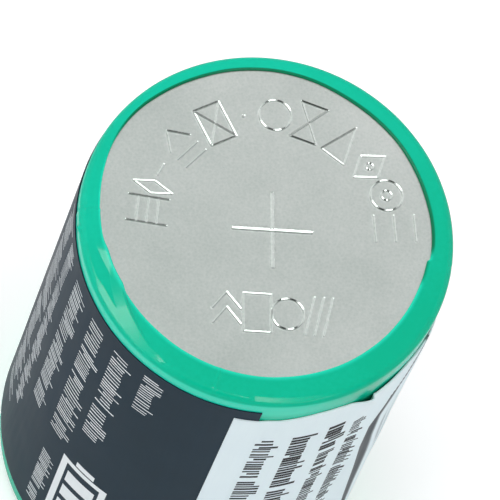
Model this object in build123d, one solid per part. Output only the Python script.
from build123d import *
import os

# A stacked battery pack: round nickel metal hydride cells, one on top of the other, joined by folded
# nickel links and held in one heat-shrunk sleeve, with a printed label and an address sticker outside.
# Millimetres. +Z runs along the stack from the negative end to the positive end, and the origin is the
# middle of the bottom cell's lid, which the pack stands on.

# The cell
cell_count = 6
cell_diameter = 25.1
cell_height = 6.35         # outside of the lid to outside of the cup's bottom
seat = 0.02                # clearance between pieces that lie against each other

# The cup, the cell's positive can, drawn from sheet and standing on its mouth
cup_wall = 0.30
cup_corner = 0.50          # outer radius where the cup's bottom meets its side
crimp_step = 0.45          # from the lid's face to the crimped edge
crimp_bend = 1.10          # outer radius of the crimped edge
crimp_flat = 0.15          # how far the crimped edge goes on past its bend
plus_arm = 2.67            # the stamped plus sign: half of one stroke
plus_stroke = 0.22
plus_depth = 0.07
plus_shift = 0.35          # the punch strikes a little off the middle

# The lid, the cell's negative cap
lid_wall = 0.30
lid_gap = 1.00             # from the crimped edge to the lid's raised part
lid_depth = 1.70           # from the lid's face to the inner face of its flange
lid_corner = 0.60
lid_bend = 0.30            # where the raised part meets the flange

# The gasket, a nylon ring that wraps the lid's flange and keeps it off the cup
gasket_wall = 0.30
gasket_edge = 0.36         # thickness round the flange's edge
gasket_cover = 0.36        # thickness over the flange
gasket_reach = 1.25        # how far the cover reaches in from the flange's edge
gasket_lip = 0.10          # how far the gasket's edge is set back from the crimped edge

# The spring between the lid and the negative electrode
spring_thickness = 0.20
spring_pad_radius = 2.60   # of the flat middle
spring_foot_width = 1.00   # of the flat feet
spring_slots = 6
spring_slot_width = 1.60
spring_slot_start = 3.40
spring_side_gap = 0.10     # from the feet to the lid's rounded corner

# The electrodes and what keeps them apart
negative_thickness = 1.60
separator_thickness = 0.25
electrode_edge = 0.15      # rounding of an electrode's edges

# The links that join the cells: one nickel strip folded once, welded to a cell with each leaf
link_leaf = 0.08
link_gap = 0.02            # between the two leaves
link_length = 10.0
link_width = 5.0
link_corner = 0.80

# The shrink sleeve
sleeve_wall = 0.18
top_lip_width = 1.60
top_opening_shift = 0.50   # the shrunk lip is wider on one side
bottom_lip_width = 1.70
bottom_opening_shift = -0.20

# The printed label, a film wrapped most of the way round
film_seat = 0.01
label_thickness = 0.08
label_start_angle = -371.0
label_end_angle = -91.0
label_top_margin = 1.35    # from the pack's top to the label
label_bottom_margin = 2.40 # from the sleeve's lower edge, above its rounded part

# The address sticker, which laps over both ends of the label
sticker_thickness = 0.10
sticker_start_angle = -98.5
sticker_end_angle = 11.5
sticker_top_margin = 2.30
sticker_bottom_margin = 6.0

# Worked out from the sizes above
cup_radius = cell_diameter / 2
cup_bore = cup_radius - cup_wall
cup_floor = cell_height - cup_wall            # inner face of the cup's bottom
cup_inner_corner = cup_corner - cup_wall
crimp_radius = cup_radius - crimp_bend - crimp_flat          # inner edge of the crimped rim
gasket_radius = cup_bore - seat
gasket_bore = gasket_radius - gasket_wall
lid_radius = crimp_radius - lid_gap           # of the raised part
flange_radius = gasket_radius - gasket_edge - seat
flange_face = lid_depth - lid_wall            # outer face of the flange
stack_start = lid_depth + seat + gasket_cover                # top of the gasket's cover
negative_start = stack_start + seat
separator_start = negative_start + negative_thickness + seat
positive_start = separator_start + separator_thickness + seat

link_height = 2 * link_leaf + link_gap
pitch = cell_height + link_height
stack_height = cell_count * pitch - link_height

sleeve_bore = cup_radius + seat
sleeve_radius = sleeve_bore + sleeve_wall
pack_height = stack_height + seat + sleeve_wall
sleeve_bottom = crimp_step - seat - sleeve_wall
label_bore = sleeve_radius + film_seat
label_radius = label_bore + label_thickness
sticker_bore = label_radius + film_seat
sticker_radius = sticker_bore + sticker_thickness


def turned(*corners):
    """A solid of revolution about Z. Each corner is its radius, its height and its rounding."""
    outline = FilletPolyline(
        *[(radius, height) for radius, height, rounding in corners],
        radius=[rounding for radius, height, rounding in corners],
        close=True,
    )
    return revolve(Plane.XZ * make_face(outline), axis=Axis.Z)


def rounded_disc(radius, start, thickness, rounding):
    """A flat disc with its two edges rounded."""
    disc = Pos(0, 0, start + thickness / 2) * Cylinder(radius, thickness)
    return fillet(disc.edges().filter_by(GeomType.CIRCLE), rounding)


def groove(length):
    """A V-shaped stroke along X, as a punch leaves it, cut down from z = 0."""
    section = make_face(Polyline(
        (-plus_stroke / 2, 0), (plus_stroke / 2, 0), (0, -plus_depth), close=True))
    return extrude(Plane.YZ * section, amount=length / 2, both=True)


def cup():
    """The can: a flat bottom at the top, a straight side and a rim crimped in over the gasket."""
    body = turned(
        (0, cell_height, 0),
        (cup_radius, cell_height, cup_corner),
        (cup_radius, crimp_step, crimp_bend),
        (crimp_radius, crimp_step, 0),
        (crimp_radius, crimp_step + cup_wall, 0),
        (cup_bore, crimp_step + cup_wall, crimp_bend - cup_wall),
        (cup_bore, cup_floor, cup_inner_corner),
        (0, cup_floor, 0),
    )
    mark = Pos(plus_shift, 0, cell_height)
    stroke = groove(2 * plus_arm)
    return body - mark * stroke - mark * Rot(0, 0, 90) * stroke


def lid():
    """The cap: a raised round face with a flange that the gasket grips."""
    return turned(
        (0, 0, 0),
        (lid_radius, 0, lid_corner),
        (lid_radius, flange_face, lid_bend),
        (flange_radius, flange_face, 0),
        (flange_radius, lid_depth, 0),
        (lid_radius - lid_wall, lid_depth, lid_bend + lid_wall),
        (lid_radius - lid_wall, lid_wall, lid_corner - lid_wall),
        (0, lid_wall, 0),
    )


def gasket():
    """The seal: a collar in the crimp, a wrap round the flange and a skirt up the cup's side."""
    under_flange = flange_face - seat
    over_flange = lid_depth + seat
    return turned(
        (lid_radius + seat, crimp_step + gasket_lip, 0),
        (crimp_radius - seat, crimp_step + gasket_lip, 0),
        (crimp_radius - seat, crimp_step + cup_wall + seat, 0),
        (gasket_radius, crimp_step + cup_wall + seat, crimp_bend - cup_wall - seat),
        (gasket_radius, separator_start - seat, 0),
        (gasket_bore, separator_start - seat, 0),
        (gasket_bore, stack_start, 0),
        (flange_radius - gasket_reach, stack_start, 0),
        (flange_radius - gasket_reach, over_flange, 0),
        (flange_radius + seat, over_flange, 0),
        (flange_radius + seat, under_flange, 0),
        (lid_radius + seat, under_flange, lid_bend - seat),
    )


def contact_spring():
    """A dished star that presses the electrodes up and carries their current to the lid."""
    foot_radius = lid_radius - lid_corner - spring_side_gap
    low, high = lid_wall + seat, negative_start - seat
    dish = turned(
        (0, high, 0),
        (spring_pad_radius, high, 0),
        (foot_radius - spring_foot_width, low + spring_thickness, 0),
        (foot_radius, low + spring_thickness, 0),
        (foot_radius, low, 0),
        (foot_radius - spring_foot_width, low, 0),
        (spring_pad_radius, high - spring_thickness, 0),
        (0, high - spring_thickness, 0),
    )
    slot_length = foot_radius
    slot = Pos(spring_slot_start + slot_length / 2, 0, (low + high) / 2) * Box(
        slot_length, spring_slot_width, 2 * (high - low))
    return dish - PolarLocations(0, spring_slots) * slot


def negative_electrode():
    """The hydride alloy tablet, inside the gasket's skirt."""
    return rounded_disc(gasket_bore - seat, negative_start, negative_thickness, electrode_edge)


def separator():
    """The felt disc that keeps the two electrodes apart. It covers the gasket's skirt."""
    return Pos(0, 0, separator_start + separator_thickness / 2) * Cylinder(
        gasket_radius, separator_thickness)


def positive_electrode():
    """The nickel hydroxide tablet, against the cup's bottom. Its edge clears the cup's inner corner."""
    thickness = cup_floor - seat - positive_start
    return rounded_disc(gasket_radius, positive_start, thickness, cup_inner_corner + electrode_edge)


def cell_link():
    """A strip folded once, so that one leaf lies on the cell below and one under the cell above."""
    half = link_length / 2
    middle = link_height / 2
    outline = [
        Line((half, 0), (-half, 0)),
        ThreePointArc((-half, 0), (-half - middle, middle), (-half, link_height)),
        Line((-half, link_height), (half, link_height)),
        Line((half, link_height), (half, link_height - link_leaf)),
        Line((half, link_height - link_leaf), (-half, link_height - link_leaf)),
        ThreePointArc((-half, link_height - link_leaf), (-half - link_gap / 2, middle), (-half, link_leaf)),
        Line((-half, link_leaf), (half, link_leaf)),
        Line((half, link_leaf), (half, 0)),
    ]
    strip = extrude(Plane.XZ * make_face(outline), amount=link_width / 2, both=True)
    free_corners = strip.edges().filter_by(Axis.Z).group_by(Axis.X)[-1]
    return fillet(free_corners, link_corner)


def shrink_sleeve():
    """The plastic sleeve, shrunk over both ends of the stack so that its lips hold the cells."""
    lip_end = lid_radius / 2                # the lips are made long and then cut to size
    outer_corner = seat + sleeve_wall
    blank = turned(
        (lip_end, pack_height, 0),
        (sleeve_radius, pack_height, cup_corner + outer_corner),
        (sleeve_radius, sleeve_bottom, crimp_bend + outer_corner),
        (lip_end, sleeve_bottom, 0),
        (lip_end, sleeve_bottom + sleeve_wall, 0),
        (sleeve_bore, sleeve_bottom + sleeve_wall, crimp_bend + seat),
        (sleeve_bore, pack_height - sleeve_wall, cup_corner + seat),
        (lip_end, pack_height - sleeve_wall, 0),
    )
    top_opening = Pos(0, top_opening_shift, pack_height) * Cylinder(
        sleeve_radius - top_lip_width, 4 * sleeve_wall)
    bottom_opening = Pos(0, bottom_opening_shift, sleeve_bottom) * Cylinder(
        sleeve_radius - bottom_lip_width, 4 * sleeve_wall)
    return blank - top_opening - bottom_opening


def film(bore, radius, bottom, top, start_angle, end_angle):
    """A sheet wrapped part of the way round the sleeve."""
    section = Plane.XZ * make_face(Polyline(
        (bore, bottom), (radius, bottom), (radius, top), (bore, top), close=True))
    return revolve(Rot(0, 0, start_angle) * section, axis=Axis.Z, revolution_arc=end_angle - start_angle)


def wrap_label():
    """The printed label. Its two ends don't meet."""
    return film(label_bore, label_radius, sleeve_bottom + label_bottom_margin,
                pack_height - label_top_margin, label_start_angle, label_end_angle)


def address_sticker():
    """The sticker over the gap between the label's ends."""
    return film(sticker_bore, sticker_radius, sleeve_bottom + sticker_bottom_margin,
                pack_height - sticker_top_margin, sticker_start_angle, sticker_end_angle)


def write(shape, name):
    export_step(shape, f"parts/{name}.step")


os.makedirs("parts", exist_ok=True)

cell_pieces = {
    "cup": cup(),
    "lid": lid(),
    "gasket": gasket(),
    "contact_spring": contact_spring(),
    "negative_electrode": negative_electrode(),
    "separator": separator(),
    "positive_electrode": positive_electrode(),
}
for cell in range(cell_count):
    base = Pos(0, 0, cell * pitch)
    for piece_name, piece in cell_pieces.items():
        write(base * piece, f"cell_{cell + 1}_{piece_name}")

link = cell_link()
for joint in range(cell_count - 1):
    place = Pos(0, 0, joint * pitch + cell_height) * Rot(0, 0, 180 * (joint % 2))
    write(place * link, f"link_{joint + 1}_{joint + 2}")

write(shrink_sleeve(), "shrink_sleeve")
write(wrap_label(), "wrap_label")
write(address_sticker(), "address_sticker")
